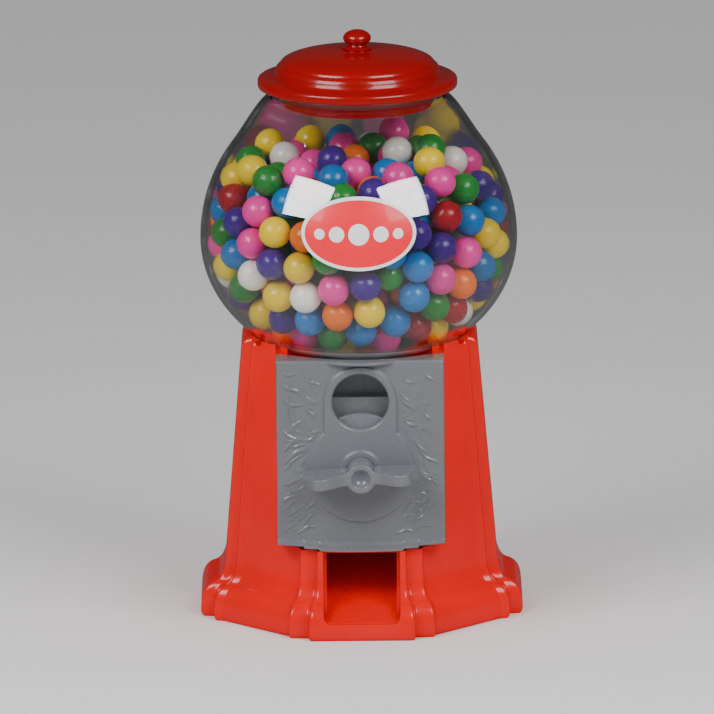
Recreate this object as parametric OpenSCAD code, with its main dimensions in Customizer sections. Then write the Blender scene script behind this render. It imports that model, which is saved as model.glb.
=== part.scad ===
// Tabletop gumball machine: a fluted, tapered base with a crank on its front,
// a clear globe full of gumballs that stands in the base, and a lift-off lid.
// Millimetres. +Z is up, the crank faces -Y, the origin is the middle of the footprint.

/* [Base] */
// Half width of the base at the bottom of its shoulder
shoulder_half = 59.2; // [58.8:0.1:59.6]
// Half width of the base where the foot's cove begins
waist_half = 68.1; // [67.5:0.1:68.6]
// Half width of the foot
foot_half = 81; // [80:0.5:82]
// Height of the base's top
base_h = 143; // [142.5:0.1:143.5]
// Wall thickness of the base
base_wall = 2.6; // [2.4:0.1:2.8]
// Height of the bottom edge of the front plate
plate_z0 = 42.7; // [42:0.1:43]
// Half width of the gumball outlet in the front
outlet_half = 19.1; // [19.1:0.1:20]

/* [Front plate] */
// Half width of the front plate
plate_half = 41.9; // [41.6:0.1:42]
// Distance of the plate's face from the middle of the machine
plate_front = 62; // [61.8:0.1:62.2]
// Height of the plate's top
plate_top = 139.3; // [138.9:0.1:139.5]
// Sheet thickness of the plate
plate_wall = 2.4; // [2.2:0.1:2.5]
// Radius of the coin window
window_r = 14.1; // [13.8:0.1:14.2]
// Height of the middle of the coin window
window_z = 118.4; // [118.2:0.1:118.6]

/* [Crank] */
// Height of the crank's axis
crank_z = 83.3; // [83.2:0.1:83.4]
// Half of the span of the handle's wings
handle_half = 29.5; // [27:0.5:31]
// Tilt of the handle at rest, degrees
handle_tilt = 2.8; // [0:0.1:5]
// Radius of the crank shaft
shaft_r = 3; // [2.8:0.1:3]
// Radius of the coin wheel
coin_wheel_r = 28; // [27:0.5:28.5]

/* [Dispenser] */
// Number of teeth on the drive gear
gear_teeth = 16; // [16:1:16]
// Number of drive pins under the gumball wheel
pin_count = 20; // [20:1:20]
// Radius of the circle of drive pins
pin_circle_r = 33; // [32.9:0.1:33.1]
// Radius of the gumball wheel
wheel_r = 35.4; // [35.2:0.1:35.5]
// Number of gumball pockets
pocket_count = 5; // [4:1:5]
// Radius of a gumball pocket
pocket_r = 9.2; // [8.9:0.1:9.3]

/* [Globe] */
// Radius of the globe at its equator
globe_r = 79.5; // [79.3:0.1:79.7]
// Height of the globe's equator
globe_z = 189.5; // [189.4:0.1:189.6]
// Depth of the globe's lower half, if it were not cut off
globe_depth = 65.4; // [65.2:0.1:65.6]
// Wall thickness of the globe
globe_wall = 2.8; // [2.4:0.1:3]
// Outer radius of the globe's neck
neck_r = 43; // [42.5:0.1:43.5]
// Diameter of a gumball
ball_d = 15.8; // [15.2:0.1:16]

/* [Lid] */
// Radius of the lid's brim
brim_r = 50; // [49:0.5:51]
// Overall height of the machine
total_h = 295; // [294:0.5:298]

/* [Hidden] */
$fn = 96;
RED = [0.85, 0.11, 0.08];
DARK_RED = [0.45, 0.04, 0.05];
GREY = [0.5, 0.51, 0.52];
CREAM = [0.88, 0.86, 0.78];
STEEL = [0.7, 0.7, 0.72];
BLACK = [0.08, 0.08, 0.09];

deck_z = 129.5;                        // underside of the base's top
frame_back = 34;                       // depth of the red frame behind the plate
foot_h = 17.5;                         // top of the foot, where the cove starts
cove_top = 30;                         // where the cove runs out into the flank
shoulder_z = base_h - 6;               // where the shoulder's rounding starts
shoulder_round = 5.5;
globe_gap = 0.4;                       // room between the globe and its dish
dish_hole_r = 41.6;                    // hole in the deck that takes the globe's collar
collar_r = 41.2;                       // the globe's collar
collar_bore = 38.4;
collar_z0 = 127.3;
hollow_r = 59.5;                       // rim of the hollow around the globe's foot
hollow_z = 134.9;                      // its lowest height
hollow_wall = 1.2;                     // the plate's thickness under it

plate_back = 46.3;                     // where the plate's side walls end
frame_half = 42.2;                     // the red frame behind the plate
opening_half = 39.6;                   // the mechanism's opening through the frame
opening_z0 = 45;
opening_z1 = 136.8;
plate_boss = [36, 51, 131];            // x and the two heights of the plate's screw bosses
guide_boss = [21, 130];                // x and height of the coin guide's screw bosses

hub_r = 7.5;                           // handle hub, running in the plate
running_gap = 0.05;
hub_front = 82;
coin_wheel_y = [-58.3, -54.3];
bracket_y = [-43.5, -41];
gear_y = [-37, -31.5];
shaft_y = [-78, -29.2];
gear_tip_r = 28.4;
gear_root_r = 22.6;
tooth_root_w = 4.2;
tooth_tip_w = 2.4;
pin_r = 1.3;
pin_z0 = 106.6;

floor_z = [110, 112.7];                // hopper floor under the gumball wheel
floor_r = 30.3;
wheel_z = [113.4, 127];
pocket_circle_r = 20.5;
drop_r = 9.7;                          // bore of the drop tube
tube_r = 10.7;                         // outside of the drop tube
drop_y = 20.5;                         // the outlet is behind the wheel's axle
drop_z0 = 61;
axle_r = 4;
arm_z = [98, 104];                     // arms that carry the hopper floor
axle_top = 121.6;
ring_r = [36, 38];                     // hopper ring around the wheel
ring_z = [112.8, 131];
guard_z = [129.2, 131.2];

chute_half = 19;
chute_wall = 1.5;
chute_y = [-78.5, 33];
chute_floor_z = 9;                     // chute floor at its front end
chute_slope = 0.28;
roof_slope = 0.22;
roof_z = 42.5;                         // chute roof up to where it starts to rise
roof_y = [-62, -46.5];

cover_z = [1.2, 3.8];
cover_half = foot_half - base_wall - 0.4;
pad_r = 6;                             // foot pad in the middle of the cover
door_y = 30;
door_r = 22;
column_xy = 41.5;                        // screw columns in the corners of the base

// ---- helpers ----

// Extrudes a shape drawn in X and Z from y0 back to y1.
module along_y(y0, y1) {
    translate([0, y1, 0]) rotate([90, 0, 0]) linear_extrude(y1 - y0) children();
}

module rod_y(r, y0, y1, x = 0, z = 0) {
    translate([x, y0, z]) rotate([-90, 0, 0]) cylinder(r = r, h = y1 - y0);
}

module rod_z(r, z0, z1, x = 0, y = 0) {
    translate([x, y, z0]) cylinder(r = r, h = z1 - z0);
}

// A box given by its lowest and highest corners.
module block(low, high) {
    translate(low) cube(high - low);
}

module both_sides() {
    children();
    mirror([1, 0, 0]) children();
}

module four_corners() {
    for (sx = [-1, 1], sy = [-1, 1])
        translate([sx * column_xy, sy * column_xy, 0]) children();
}

// Pan-head screw standing on z = 0 with its head up.
module screw(head_r = 3, head_h = 1.7, shank_r = 1.3, length = 9) {
    difference() {
        union() {
            rod_z(head_r, 0, head_h);
            rod_z(shank_r, -length, 0.01);
        }
        for (a = [0, 90])
            rotate([0, 0, a])
                block([-head_r * 0.6, -0.35, head_h - 0.9], [head_r * 0.6, 0.35, head_h + 1]);
    }
}

// ---- base outline ----

// Half width of the straight flank at height z.
function flank(z) =
    waist_half + (shoulder_half - waist_half) * (z - cove_top) / (shoulder_z - cove_top);

// One side of the fluted plan for a base of half width 1: a pilaster with a step each side.
SIDE = [
    [-0.46, -0.865], [-0.448, -0.912], [-0.345, -0.92], [-0.325, -0.99], [-0.30, -1],
    [0.30, -1], [0.325, -0.99], [0.345, -0.92], [0.448, -0.912], [0.46, -0.865]
];
OUTLINE = four_sides(SIDE);

FOOT = [
    [-5, foot_half - 1], [0, foot_half - 1], [2, foot_half], [12, foot_half - 0.4],
    [15.5, foot_half - 1.6]
];
COVE = [
    for (a = [0:15:90])
        [
            foot_h + (cove_top - foot_h) * (1 - cos(a)),
            waist_half + (foot_half - 4.5 - waist_half) * (1 - sin(a))
        ]
];
SHOULDER = [
    for (a = [0:22.5:90])
        [shoulder_z + (base_h - shoulder_z) * sin(a), shoulder_half - shoulder_round * (1 - cos(a))]
];
OUTSIDE = concat(FOOT, COVE, SHOULDER);

// The cavity has the same plan in a plainer form.
CAVITY_SIDE = [[-0.45, -0.862], [-0.32, -0.95], [0.32, -0.95], [0.45, -0.862]];
INSIDE = [
    [-9, foot_half - base_wall],
    [12.5, foot_half - base_wall],
    [foot_h - base_wall, waist_half + 3],
    [cove_top - 6, waist_half - base_wall + 0.5],
    [cove_top, waist_half - base_wall],
    [deck_z + 5, flank(deck_z + 5) - base_wall]
];

// One side's outline, repeated on all four sides.
function four_sides(side) = [
    for (q = [0:3], p = side)
        [p[0] * cos(90 * q) - p[1] * sin(90 * q), p[0] * sin(90 * q) + p[1] * cos(90 * q)]
];

// Solid through a list of [height, half width] levels of one outline.
module loft(outline, levels) {
    n = len(outline);
    top = len(levels) - 1;
    polyhedron(
        points = [for (l = levels, p = outline) [p[0] * l[1], p[1] * l[1], l[0]]],
        faces = concat(
            [[for (i = [0:n - 1]) i]],
            [[for (i = [0:n - 1]) top * n + n - 1 - i]],
            [
                for (k = [0:top - 1], i = [0:n - 1])
                    [k * n + i, (k + 1) * n + i, (k + 1) * n + (i + 1) % n, k * n + (i + 1) % n]
            ]
        )
    );
}

// ---- globe outline ----

neck_z = globe_z + 79;
LOWER_END = 57;                        // angle below the equator where the collar starts
UPPER_END = 37;                        // angle above it where the shoulder straightens

function globe_curve(extra) = concat(
    [for (a = [LOWER_END:-6:3]) [(globe_r + extra) * cos(a), globe_z - (globe_depth + extra) * sin(a)]],
    [
        for (a = [0:UPPER_END / 8:UPPER_END])
            [(globe_r + extra) * cos(a), globe_z + (globe_r + extra) * sin(a)]
    ],
    [[57.6 + extra * 0.7, globe_z + 57.4 + extra * 0.7], [50.9 + extra * 0.7, globe_z + 65.5 + extra * 0.7]],
    [[45 + extra * 0.8, globe_z + 71 + extra * 0.5], [neck_r + extra, globe_z + 73 + extra * 0.3]]
);

function reversed(list) = [for (i = [len(list) - 1:-1:0]) list[i]];

// The globe's outer shape as a solid, grown by extra, for the dish that holds it.
module globe_solid(extra) {
    rotate_extrude()
        polygon(concat(
            [[0, globe_z - globe_depth - extra]],
            [for (a = [84:-9:60]) [(globe_r + extra) * cos(a), globe_z - (globe_depth + extra) * sin(a)]],
            globe_curve(extra),
            [[0, globe_z + 73]]
        ));
}

// ---- fixed parts of the base ----

module base_shell() {
    color(RED)
    difference() {
        union() {
            difference() {
                loft(OUTLINE, OUTSIDE);
                intersection() {
                    loft(four_sides(CAVITY_SIDE), INSIDE);
                    block([-90, -90, -20], [90, 90, deck_z]);
                }
                block([-99, -99, -20], [99, 99, 0]);
                block([-60, -90, plate_z0], [60, -plate_back, base_h + 9]);
                block([-opening_half, -60, opening_z0], [opening_half, 1 - frame_back, opening_z1]);
            }
            difference() {
                block([-frame_half, -plate_back, plate_z0], [frame_half, -frame_back, plate_top + 0.2]);
                block([-opening_half, -60, opening_z0], [opening_half, 1 - frame_back, opening_z1]);
            }
            frame_tabs();
            posts();
            columns();
        }
        globe_solid(globe_gap);
        rod_z(dish_hole_r, collar_z0 - 9, base_h);
        outlet_cut();
        chute_recess();
        foot_hollow();
        base_screw_holes();
    }
}

// Tabs for the plate's screws and lugs for the bearing bracket, inside the frame.
module frame_tabs() {
    both_sides() {
        for (z = [opening_z0, opening_z1 - 12])
            block([31, -plate_back, z - 0.5], [opening_half + 0.5, -plate_back + 2.5, z + 12.5]);
        for (z = [62, 92])
            block([33, bracket_y[1], z], [opening_half + 0.5, bracket_y[1] + 3.5, z + 9]);
    }
}

// Posts on the side walls that carry the hopper ring and the hopper floor.
module posts() {
    both_sides() {
        block([43, -6, 98], [60, 6, ring_z[0]]);
        block([43, drop_y - 5, 82], [57, drop_y + 5, arm_z[0]]);
    }
}

module columns() {
    four_corners() rod_z(4.5, cover_z[1], 27);
}

module outlet_cut() {
    corner = 4;
    z0 = chute_floor_z - 0.5;
    z1 = plate_z0 + 0.1;
    along_y(-90, -45) {
        translate([-outlet_half, z0 + corner]) square([2 * outlet_half, z1 - z0 - corner]);
        translate([-outlet_half + corner, z0]) square([2 * (outlet_half - corner), corner + 1]);
        for (s = [-1, 1]) translate([s * (outlet_half - corner), z0 + corner]) circle(r = corner);
    }
    // passage of the chute's roof through the bottom of the frame
    block([-outlet_half, -plate_back - 1, z0 + 9], [outlet_half, 1 - frame_back, 52]);
}

// Shallow cone around the globe's foot, drop lower than the hollow's surface.
module foot_cone(drop) {
    rise = plate_top - hollow_z;
    width = hollow_r - dish_hole_r;
    translate([0, 0, hollow_z - drop])
        cylinder(r1 = dish_hole_r, r2 = dish_hole_r + 2 * width, h = 2 * rise);
}

// The hollow, cut into the frame and the plate's top.
module foot_hollow() {
    intersection() {
        foot_cone(0);
        block([-frame_half, -90, hollow_z - 1], [frame_half, -frame_back - 0.3, plate_top + 3]);
    }
}

// Square pocket behind the foot's skin for the front end of the chute.
module chute_recess() {
    block([-outlet_half, chute_y[0] - 0.2, chute_floor_z - 1.6], [outlet_half, -60, chute_floor_z + 11]);
}

module base_screw_holes() {
    four_corners() rod_z(1.3, 1, 16);
    both_sides() {
        rod_z(1.3, 104, ring_z[0] + 1, 47);
        rod_z(1.3, 89, arm_z[0] + 1, 47, drop_y);
        for (z = [plate_boss[1], plate_boss[2]]) rod_y(1.6, -48, -42, plate_boss[0], z);
        for (z = [66.5, 96.5]) rod_y(1.3, -42, -36, 36.5, z);
    }
}

module bottom_cover() {
    color(BLACK)
    difference() {
        union() {
            translate([0, 0, cover_z[0]])
                linear_extrude(cover_z[1] - cover_z[0]) polygon(four_sides(CAVITY_SIDE) * cover_half);
            rod_z(pad_r, 0, cover_z[0] + 0.01);
            translate([0, door_y, cover_z[1] - 0.01])
                difference() {
                    rod_z(door_r + 6, 0, 3.5);
                    rod_z(door_r + 3, -1, 5);
                }
        }
        rod_z(door_r, 0, 9, 0, door_y);
        four_corners() rod_z(1.6, 0, 9);
        four_corners() rod_z(3.4, 0, cover_z[0] + 1);
    }
}

module bottom_screws() {
    color(STEEL)
    four_corners() translate([0, 0, cover_z[0] + 1]) mirror([0, 0, 1]) screw(head_h = 1.5, length = 12);
}

// Round bayonet door that lets the coins out through the bottom cover.
module coin_door() {
    lug_z = cover_z[1] + 0.35;
    color(BLACK)
    translate([0, door_y, 0])
        difference() {
            union() {
                rod_z(door_r - 0.4, cover_z[0], lug_z + 1.4);
                for (a = [30:120:270])
                    rotate([0, 0, a])
                        intersection() {
                            rod_z(door_r + 2, lug_z, lug_z + 1.4);
                            block([0, -5, 0], [door_r + 5, 5, 9]);
                        }
            }
            for (s = [-1, 1])
                intersection() {
                    rod_z(door_r - 6, cover_z[0] - 1, cover_z[0] + 1.8);
                    translate([s * 12, 0, 2]) cube([18, 40, 9], center = true);
                }
        }
}

// ---- front plate ----

// The raised keyhole shape around the window and the handle.
module keyhole(grow = 0) {
    translate([0, crank_z]) circle(r = 26.4 + grow);
    translate([0, window_z]) circle(r = 18 + grow);
    translate([-18 - grow, crank_z]) square([36 + 2 * grow, window_z - crank_z]);
}

// One stretch of the flared bottom lip, from x0 to x1, reaching forward to y = -reach.
module lip(x0, x1, reach) {
    z0 = plate_z0;
    translate([x0, 0, 0])
        rotate([90, 0, 90])
            linear_extrude(x1 - x0)
                polygon([
                    [-plate_front, z0 + 5], [-plate_front - 1.6, z0 + 3.2], [-reach, z0 + 1.3],
                    [-reach, z0], [-reach + 2, z0], [-plate_front, z0 + 1.6],
                    [-plate_back - 3, z0 + 1.6], [-plate_back - 3, z0 + 4], [-plate_front, z0 + 4]
                ]);
}

module front_plate() {
    inner = plate_half - plate_wall;
    color(GREY)
    difference() {
        union() {
            difference() {
                block([-plate_half, -plate_front, plate_z0 + 2], [plate_half, -plate_back, plate_top]);
                block(
                    [-inner, -plate_front + plate_wall, plate_z0 + 4],
                    [inner, 0, plate_top - plate_wall]
                );
            }
            along_y(-plate_front - 1, -plate_front) keyhole();
            lip(-21, 21, 68.4);
            both_sides() {
                lip(20.9, 28.7, 66);
                lip(28.6, plate_half, 64.2);
                for (z = [plate_boss[1], plate_boss[2]])
                    rod_y(3.4, -plate_front + 1, -plate_back, plate_boss[0], z);
                rod_y(3, -plate_front + 1, -47, guide_boss[0], guide_boss[1]);
            }
            intersection() {
                rod_z(26.8, plate_top - 1.6, plate_top, 0, -40.8);
                block([-16.4, -70, 0], [16.4, -plate_front + 1, 200]);
            }
            intersection() {
                foot_cone(hollow_wall);
                block([-inner - 0.5, -plate_front + 1, 130], [inner + 0.5, -plate_back, plate_top]);
            }
        }
        rod_y(window_r, -70, -50, 0, window_z);
        rod_y(hub_r + running_gap, -70, -50, 0, crank_z);
        both_sides() {
            for (z = [plate_boss[1], plate_boss[2]]) rod_y(1.3, -56, -40, plate_boss[0], z);
            rod_y(1.3, -55, -40, guide_boss[0], guide_boss[1]);
        }
        globe_solid(globe_gap);
        foot_hollow();
    }
}

module plate_screws() {
    color(STEEL)
    both_sides()
        for (z = [plate_boss[1], plate_boss[2]])
            translate([plate_boss[0], -plate_back + 2.5, z]) rotate([-90, 0, 0]) screw(length = 11);
}

// ---- coin guide: the pocket behind the window and the coin channel beside the shaft ----

module coin_guide() {
    front = [-53.2, -51.7];
    back = [-47, -45.4];
    slot_z = window_z + 0.3;
    guide_top = 133.6;
    side = 17;
    wall = 1.6;
    color(GREY)
    difference() {
        union() {
            // channel walls
            along_y(front[0], back[1])
                difference() {
                    polygon([
                        [-13 - wall, slot_z], [13 + wall, slot_z], [39.4, 102.4], [39.4, 60],
                        [13 - wall, 60], [13 - wall, 85.2], [-13 - wall, 103.2]
                    ]);
                    polygon([
                        [-13, slot_z + 1], [13, slot_z + 1], [13, 118], [37.8, 101.5], [37.8, 59],
                        [13, 59], [13, 86], [-13, 104]
                    ]);
                }
            // wall under the coin slot, and the channel's front
            block([-side, front[0], 100], [side, front[1], slot_z]);
            along_y(front[0], front[1])
                polygon([[13, slot_z], [39.4, 102.4], [39.4, 60], [12, 60], [12, 100]]);
            along_y(back[0], back[1])
                polygon([
                    [-side, slot_z - 3], [-side, guide_top], [side, guide_top],
                    [side, slot_z - 3], [39.4, 102.4],
                    [39.4, 60], [12, 60], [12, 86.2], [-14, 104]
                ]);
            // pocket sides and roof
            both_sides() block([side - wall, -59.3, slot_z - 3], [side, back[1], guide_top]);
            block([-side, -59.3, guide_top - 1], [side, back[1], guide_top]);
            both_sides()
                block(
                    [side - 0.1, back[0], guide_boss[1] - 4],
                    [guide_boss[0] + 4, back[1], guide_boss[1] + 4]
                );
        }
        both_sides() rod_y(1.6, -48, -44, guide_boss[0], guide_boss[1]);
    }
}

module guide_screws() {
    color(STEEL)
    both_sides()
        translate([guide_boss[0], -45.4, guide_boss[1]]) rotate([-90, 0, 0]) screw(head_r = 2.6, length = 8);
}

// ---- crank ----

module coin_wheel() {
    color(GREY)
    difference() {
        rod_y(coin_wheel_r, coin_wheel_y[0], coin_wheel_y[1], 0, crank_z);
        rod_y(shaft_r, -60, -50, 0, crank_z);
        // coin notch, below the window at rest
        rod_y(12.5, -60, -50, 0, crank_z - coin_wheel_r - 3);
    }
}

module handle() {
    back = plate_front + 4;
    wing = [
        [4, -back], [handle_half, -back - 1.4], [handle_half - 5.5, -91], [17, -91], [9, -hub_front],
        [4, -hub_front]
    ];
    color(GREY)
    translate([0, 0, crank_z])
        rotate([0, -handle_tilt, 0])
            difference() {
                union() {
                    rod_y(hub_r, -hub_front, coin_wheel_y[0]);
                    both_sides() translate([0, 0, -3]) linear_extrude(6) polygon(wing);
                }
                translate([0, -hub_front - 1.2, 0]) sphere(r = 4.9);
                rod_y(shaft_r, shaft_y[0], -50);
                rod_z(1.2, -9, 9, 0, -72);
            }
}

// Cross pin that fixes the handle to its shaft.
module handle_pin() {
    color(STEEL)
    translate([0, 0, crank_z])
        rotate([0, -handle_tilt, 0]) rod_z(1.2, -hub_r + 0.6, hub_r - 0.6, 0, -72);
}

module handle_shaft() {
    color(STEEL)
    difference() {
        rod_y(shaft_r, shaft_y[0], shaft_y[1], 0, crank_z);
        rod_y(1.3, shaft_y[1] - 10, shaft_y[1] + 1, 0, crank_z);
        translate([0, 0, crank_z]) rotate([0, -handle_tilt, 0]) rod_z(1.2, -9, 9, 0, -72);
    }
}

module shaft_bushing() {
    color(CREAM)
    difference() {
        union() {
            rod_y(5.5, bracket_y[0] - 1, bracket_y[1], 0, crank_z);
            rod_y(7.5, bracket_y[1], bracket_y[1] + 1.2, 0, crank_z);
        }
        rod_y(shaft_r + running_gap, -50, -30, 0, crank_z);
    }
}

module bearing_bracket() {
    color(GREY)
    difference() {
        union() {
            block([-39.4, bracket_y[0], 61], [39.4, bracket_y[1], 103]);
            for (s = [-1, 1])
                block([s * 20 - 1, bracket_y[1] - 0.1, 61], [s * 20 + 1, bracket_y[1] + 2.2, 103]);
        }
        rod_y(5.5, -50, -38, 0, crank_z);
        both_sides() for (z = [66.5, 96.5]) rod_y(1.6, -50, -38, 36.5, z);
    }
}

module bracket_screws() {
    color(STEEL)
    both_sides()
        for (z = [66.5, 96.5])
            translate([36.5, bracket_y[0], z]) rotate([90, 0, 0]) screw(length = 6, head_h = 1.6);
}

// One gear tooth, pointing up from the gear's centre.
TOOTH = [
    [-tooth_root_w / 2, gear_root_r - 1], [-tooth_root_w / 2, gear_root_r + 1],
    [-tooth_tip_w / 2, gear_tip_r], [tooth_tip_w / 2, gear_tip_r],
    [tooth_root_w / 2, gear_root_r + 1], [tooth_root_w / 2, gear_root_r - 1]
];

module drive_gear() {
    color(CREAM)
    translate([0, 0, crank_z])
        difference() {
            union() {
                along_y(gear_y[0], gear_y[1]) {
                    circle(r = gear_root_r);
                    for (k = [0:gear_teeth - 1])
                        rotate((k + 0.5) * 360 / gear_teeth) polygon(TOOTH);
                }
                rod_y(8, gear_y[0] - 1.9, shaft_y[1]);
            }
            rod_y(shaft_r, -45, -20);
            for (k = [0:5]) rotate([0, k * 60, 0]) rod_y(4.4, -45, -20, 15.2, 0);
        }
}

module shaft_washer() {
    color(STEEL)
    difference() {
        rod_y(6, shaft_y[1], shaft_y[1] + 1, 0, crank_z);
        rod_y(1.6, shaft_y[1] - 1, shaft_y[1] + 2, 0, crank_z);
    }
}

module shaft_screw() {
    color(STEEL)
    translate([0, shaft_y[1] + 1, crank_z])
        rotate([-90, 0, 0]) screw(head_r = 3.6, head_h = 2.2, length = 9);
}

// ---- gumball wheel and hopper ----

module gumball_wheel() {
    color(CREAM)
    difference() {
        rod_z(wheel_r, wheel_z[0], wheel_z[1]);
        for (k = [0:pocket_count - 1])
            rotate([0, 0, 90 + k * 360 / pocket_count]) rod_z(pocket_r, 100, 140, pocket_circle_r);
        rod_z(axle_r + running_gap, 100, 140);
        rod_z(6.5, axle_top - 0.4, 140);
    }
}

// Pins under the wheel that the drive gear's teeth push.
module drive_pins() {
    color(CREAM)
    for (k = [0:pin_count - 1])
        rotate([0, 0, 270 + k * 360 / pin_count]) rod_z(pin_r, pin_z0, wheel_z[0], pin_circle_r);
}

// Cone on the wheel that keeps the gumballs moving.
module agitator_cap() {
    color(CREAM)
    translate([0, 0, wheel_z[1]])
        difference() {
            union() {
                cylinder(r1 = 8.6, r2 = 3, h = 5);
                for (k = [0:2]) rotate([0, 0, 30 + k * 120]) block([2, -0.9, 0], [8.4, 0.9, 3.4]);
            }
            rod_z(5, -1, 1.5);
        }
}

module wheel_axle() {
    color(STEEL)
    difference() {
        rod_z(axle_r, arm_z[0], axle_top);
        rod_z(1.3, axle_top - 12, axle_top + 1);
    }
}

module axle_washer() {
    color(STEEL)
    difference() {
        rod_z(6, axle_top, axle_top + 1);
        rod_z(1.6, axle_top - 1, axle_top + 2);
    }
}

module axle_screw() {
    color(STEEL)
    translate([0, 0, axle_top + 1]) screw(head_r = 3.6, head_h = 2.2, length = 10);
}

module hopper_floor() {
    color(CREAM)
    difference() {
        union() {
            rod_z(floor_r, floor_z[0], floor_z[1]);
            rod_z(8, arm_z[0], floor_z[1]);
            rod_z(tube_r + 2.3, arm_z[0], arm_z[1], 0, drop_y);
            block([-3, 0, arm_z[0]], [3, drop_y - tube_r, floor_z[1] - 1]);
            block([-52, drop_y - 4.5, arm_z[0]], [52, drop_y + 4.5, arm_z[1]]);
        }
        rod_z(drop_r, floor_z[0] - 0.01, 130, 0, drop_y);
        rod_z(tube_r, 0, floor_z[0], 0, drop_y);
        rod_z(axle_r, arm_z[0] - 1, 130);
        both_sides() rod_z(1.6, 90, 110, 47, drop_y);
    }
}

// Tube that the gumball falls through, from the hopper floor to the chute.
module drop_tube() {
    color(CREAM)
    difference() {
        rod_z(tube_r, drop_z0, floor_z[0], 0, drop_y);
        rod_z(drop_r, 0, 130, 0, drop_y);
    }
}

module hopper_ring() {
    color(CREAM)
    difference() {
        union() {
            rod_z(ring_r[1], ring_z[0], ring_z[1]);
            block([-52, -5.5, ring_z[0]], [52, 5.5, ring_z[0] + 2.5]);
        }
        rod_z(ring_r[0], ring_z[0] - 1, ring_z[1] + 1);
        block([-13.2, 25, guard_z[0]], [13.2, 45, 140]);
        both_sides() rod_z(1.6, 100, 120, 47);
    }
}

module hopper_screws() {
    color(STEEL)
    both_sides() {
        translate([47, 0, ring_z[0] + 2.5]) screw(length = 9);
        translate([47, drop_y, arm_z[1]]) screw(length = 13);
    }
}

// Plate over the outlet, so that only the ball in the pocket can drop.
module ball_guard() {
    color(CREAM)
    difference() {
        intersection() {
            block([-13, 9.6, guard_z[0]], [13, 45, guard_z[1]]);
            rod_z(ring_r[1] - 0.1, 100, 140);
        }
        rod_z(10.6, 100, 140);
    }
}

// Sloping box that brings the gumball to the front.
module gumball_chute() {
    length = chute_y[1] - chute_y[0];
    floor_end = chute_floor_z + chute_slope * length;
    roof_end = roof_z + roof_slope * (chute_y[1] - roof_y[1]);
    wall = chute_wall;
    color(RED)
    difference() {
        translate([-chute_half, 0, 0])
            rotate([90, 0, 90])
                linear_extrude(2 * chute_half)
                    polygon([
                        [chute_y[0], chute_floor_z - wall], [chute_y[1], floor_end - wall],
                        [chute_y[1], roof_end], [roof_y[1], roof_z], [roof_y[0], roof_z],
                        [roof_y[0], 30], [-66, 24],
                        [chute_y[0] + 6, chute_floor_z + 3], [chute_y[0], chute_floor_z + 1]
                    ]);
        translate([-chute_half + wall, 0, 0])
            rotate([90, 0, 90])
                linear_extrude(2 * (chute_half - wall))
                    polygon([
                        [chute_y[0] - 1, chute_floor_z - 1 * chute_slope],
                        [chute_y[1] - wall, floor_end - wall * chute_slope],
                        [chute_y[1] - wall, roof_end - wall], [roof_y[1], roof_z - wall],
                        [chute_y[0] - 1, roof_z - wall]
                    ]);
        rod_z(drop_r + 0.3, drop_z0 - 9, 80, 0, drop_y);
    }
}

// ---- globe, label and gumballs ----

module globe() {
    inner = [for (p = reversed(globe_curve(-globe_wall))) p];
    tab_r = 43.6;
    color([0.8, 0.85, 0.9, 0.3]) {
        rotate_extrude()
            polygon(concat(
                [[collar_bore, collar_z0], [collar_r, collar_z0], [collar_r, 133]],
                globe_curve(0),
                [[neck_r, neck_z - 1.5], [neck_r + 1, neck_z - 1.5], [neck_r + 1, neck_z]],
                [[neck_r - globe_wall + 0.3, neck_z]],
                inner,
                [[collar_bore, 136.2]]
            ));
        for (a = [0:120:240])
            rotate([0, 0, a + 30])
                intersection() {
                    difference() {
                        rod_z(tab_r, collar_z0, collar_z0 + 2);
                        rod_z(collar_r - 0.4, 0, 200);
                    }
                    block([0, -6, 100], [60, 6, 200]);
                }
    }
}

// Oval sticker, curved to the globe.
label_half = [28.5, 18];
label_z = globe_z + 17.5;
LABEL = [for (a = [0:7.5:359]) [label_half[0] * cos(a), label_z + label_half[1] * sin(a)]];

module globe_label() {
    color("white")
    intersection() {
        translate([0, 0, globe_z])
            difference() {
                sphere(r = globe_r + 0.4);
                sphere(r = globe_r + 0.05);
            }
        along_y(-90, -50) polygon(LABEL);
    }
}

ball_pitch = 16.3;
layer_h = ball_pitch * sqrt(2 / 3);
row_h = ball_pitch * sqrt(3) / 2;
heap_z = [142.5, 236.5];               // heights of the lowest and highest gumball centres
room = globe_wall + ball_d / 2 + 0.5;

function in_globe(p) =
    let (
        h = p[2] - globe_z,
        depth = h < 0 ? globe_depth - room : globe_r - room,
        r = globe_r - room
    )
    (p[0] * p[0] + p[1] * p[1]) / (r * r) + h * h / (depth * depth) < 1;

// Close-packed centres: rows shift within a layer, and layers shift in threes.
function ball_at(i, j, k) = [
    (i + (j % 2 == 0 ? 0 : 0.5) + (k % 3 == 1 ? 0.5 : 0)) * ball_pitch,
    j * row_h + (k % 3) * row_h * (k % 3 == 1 ? 1 / 3 : -1 / 3),
    heap_z[0] + k * layer_h
];

module gumballs() {
    color([0.9, 0.3, 0.5])
    for (k = [0:floor((heap_z[1] - heap_z[0]) / layer_h)], j = [-5:5], i = [-6:5])
        if (in_globe(ball_at(i, j, k))) translate(ball_at(i, j, k)) sphere(d = ball_d, $fn = 24);
}

// ---- lid ----

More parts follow.
